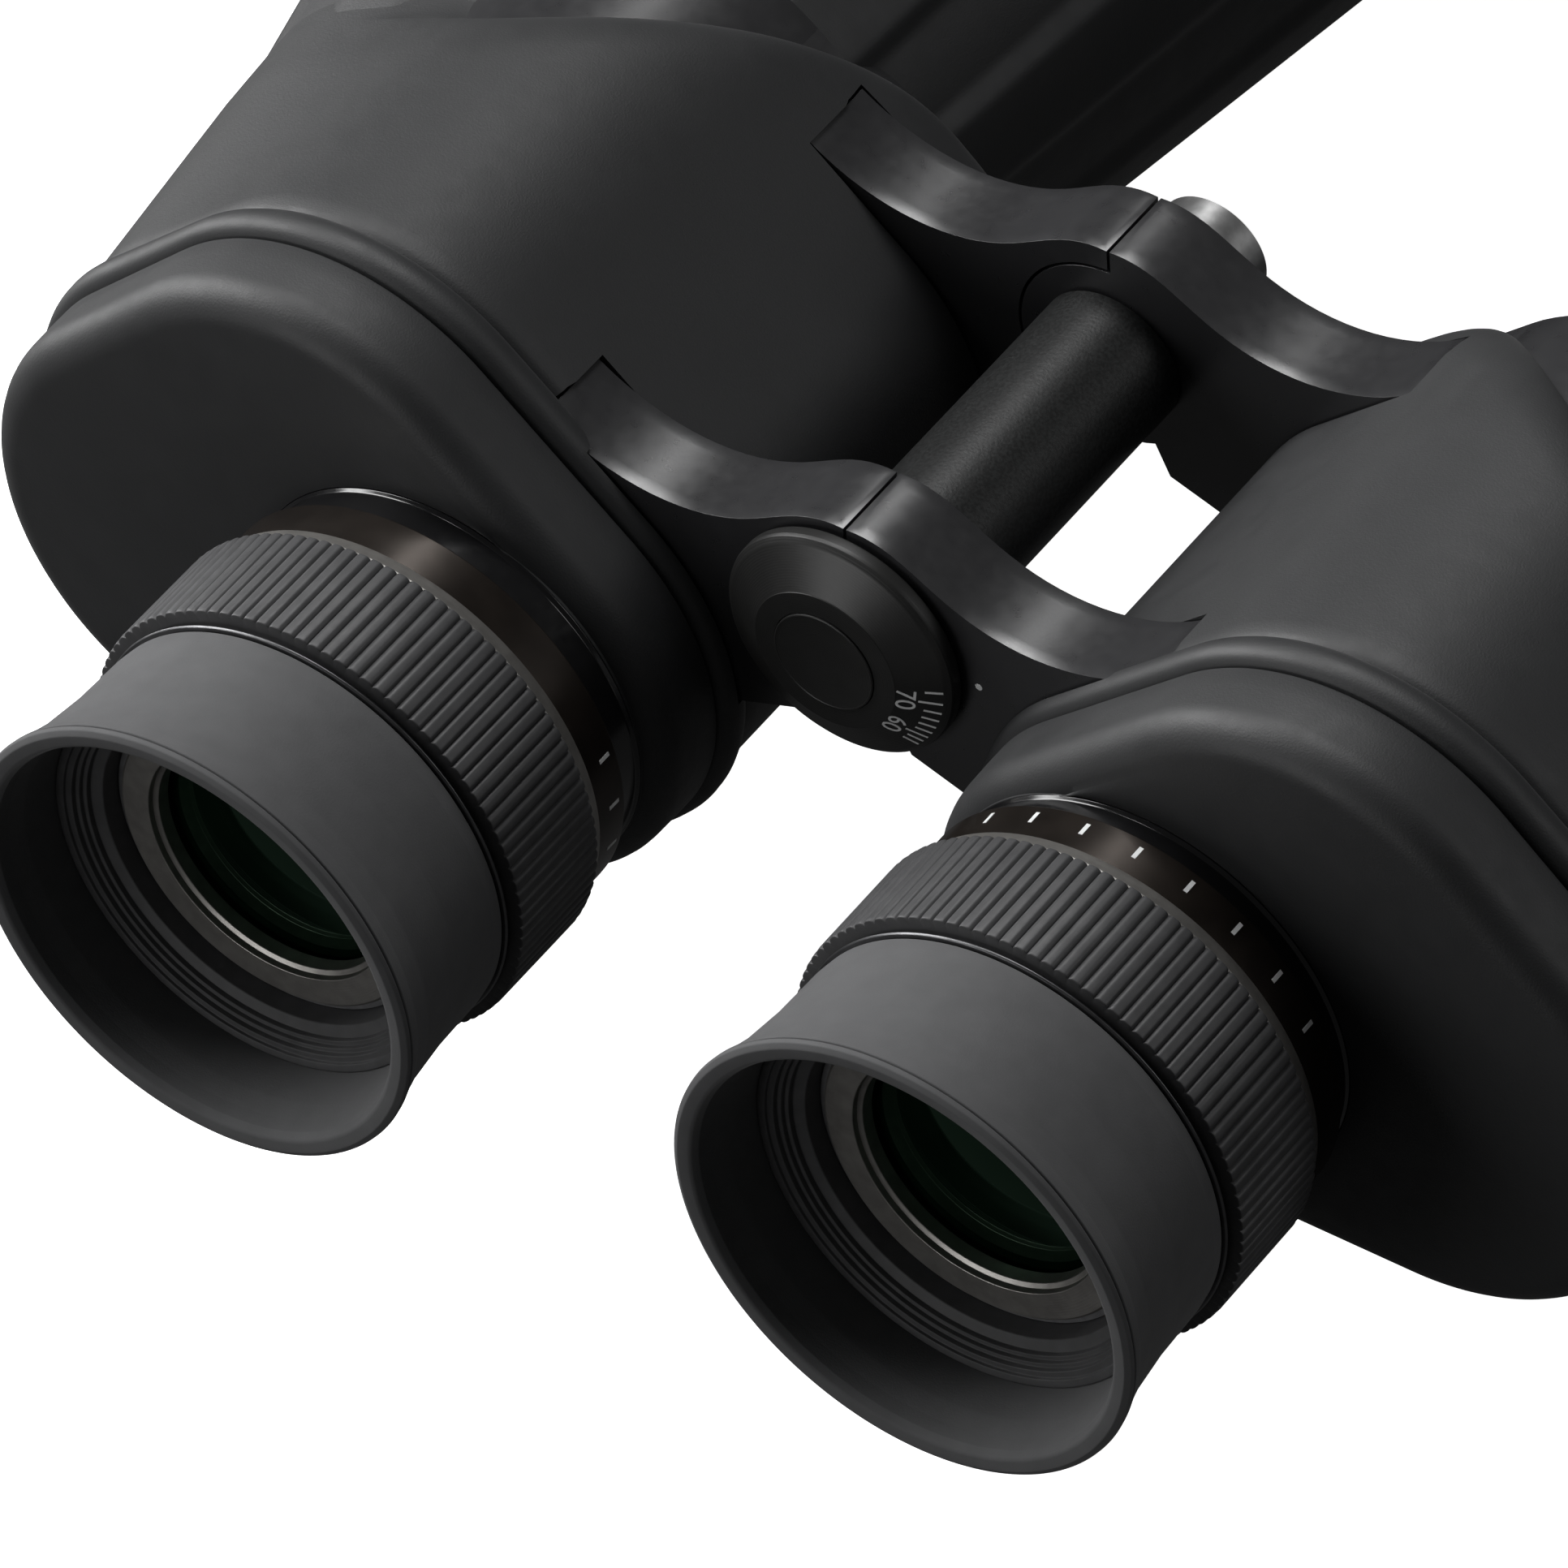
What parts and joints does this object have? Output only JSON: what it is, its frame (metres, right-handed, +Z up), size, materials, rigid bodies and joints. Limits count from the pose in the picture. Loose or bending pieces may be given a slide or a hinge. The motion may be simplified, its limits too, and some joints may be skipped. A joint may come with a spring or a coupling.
{
  "type": "astronomy binoculars",
  "caption": "Large Porro-prism binoculars with long tapered barrels, individually focused eyepieces and a central folding hinge with an eye-spacing dial.",
  "frame": {"origin": "on the hinge axis, at the mouth of the tripod socket at its front end", "axes": "+Y forward along the optical axes, +Z up, +X to the user's right"},
  "size_m": [0.2098, 0.2802, 0.0868],
  "materials": {
    "black_metal": "cast aluminium with satin black baked enamel",
    "rubber": "matte fine-grained rubber armour",
    "alloy": "machined, dull",
    "seal": "soft black seal",
    "steel": "plain steel",
    "prism_glass": "clear prism glass",
    "lens_glass": "coated lens glass with green reflections",
    "gloss_black": "gloss black anodised",
    "ring_black": "black anodised aluminium, fine axial ribs",
    "trim": "thin polished ring",
    "cup_rubber": "soft matte eyecup rubber",
    "satin_grey": "satin dark grey",
    "sleeve": "fine speckled black paint",
    "bronze": "bearing bronze",
    "dial": "satin black dial with white marks"
  },
  "bodies": {
    "left_half": {"left_barrel_armour": "rubber", "left_body_armour": "rubber", "left_cover_gasket": "seal", "left_cover_pad": "rubber", "left_cover_screws": "steel", "left_crown_lens": "lens_glass", "left_eyepiece_collar": "gloss_black", "left_eyepiece_prism": "prism_glass", "left_flint_lens": "lens_glass", "left_objective_barrel": "black_metal", "left_objective_cell": "black_metal", "left_objective_prism": "prism_glass", "left_objective_retainer": "black_metal", "left_objective_seal": "seal", "left_prism_clips": "steel", "left_prism_housing": "black_metal", "left_prism_shelf": "alloy", "left_rear_cover": "alloy", "hinge_axle": "steel", "hinge_sleeve": "sleeve", "eye_spacing_dial": "dial", "dial_plate": "dial", "tripod_insert": "steel"},
    "right_half": {"right_barrel_armour": "rubber", "right_body_armour": "rubber", "right_cover_gasket": "seal", "right_cover_pad": "rubber", "right_cover_screws": "steel", "right_crown_lens": "lens_glass", "right_eyepiece_collar": "gloss_black", "right_eyepiece_prism": "prism_glass", "right_flint_lens": "lens_glass", "right_objective_barrel": "black_metal", "right_objective_cell": "black_metal", "right_objective_prism": "prism_glass", "right_objective_retainer": "black_metal", "right_objective_seal": "seal", "right_prism_clips": "steel", "right_prism_housing": "black_metal", "right_prism_shelf": "alloy", "right_rear_cover": "alloy", "hinge_bushes": "bronze"},
    "left_ocular": {"left_ocular_barrel": "alloy", "left_eye_lens": "lens_glass", "left_field_lens": "lens_glass", "left_lens_retainer": "satin_grey"},
    "right_ocular": {"right_ocular_barrel": "alloy", "right_eye_lens": "lens_glass", "right_field_lens": "lens_glass", "right_lens_retainer": "satin_grey"},
    "left_focus": {"left_focus_ring": "ring_black", "left_trim_ring": "trim", "left_eyecup": "cup_rubber", "left_ocular_head": "ring_black"},
    "right_focus": {"right_focus_ring": "ring_black", "right_trim_ring": "trim", "right_eyecup": "cup_rubber", "right_ocular_head": "ring_black"}
  },
  "joints": [
    {"name": "interpupillary_hinge", "type": "hinge", "parent": "left_half", "child": "right_half", "pos_m": [0, -0.032, 0], "axis": [0, 1, 0], "range_deg": [0, 43.3]},
    {"name": "left_focus_turn", "type": "hinge", "parent": "left_ocular", "child": "left_focus", "pos_m": [-0.036, -0.081, -0.0148], "axis": [0, -1, 0], "range_deg": [-225, 75]},
    {"name": "left_eyepiece_travel", "type": "slide", "parent": "left_half", "child": "left_ocular", "axis": [0, -1, 0], "range_m": [-0.00297, 0.001]},
    {"name": "right_focus_turn", "type": "hinge", "parent": "right_ocular", "child": "right_focus", "pos_m": [0.036, -0.081, -0.0148], "axis": [0, -1, 0], "range_deg": [-150, 150]},
    {"name": "right_eyepiece_travel", "type": "slide", "parent": "right_half", "child": "right_ocular", "axis": [0, -1, 0], "range_m": [-0.00198, 0.00198]}
  ],
  "couplings": [
    {"joint": "left_eyepiece_travel", "follows": "left_focus_turn", "m_per_rad": 0.00075},
    {"joint": "right_eyepiece_travel", "follows": "right_focus_turn", "m_per_rad": 0.00075}
  ]
}
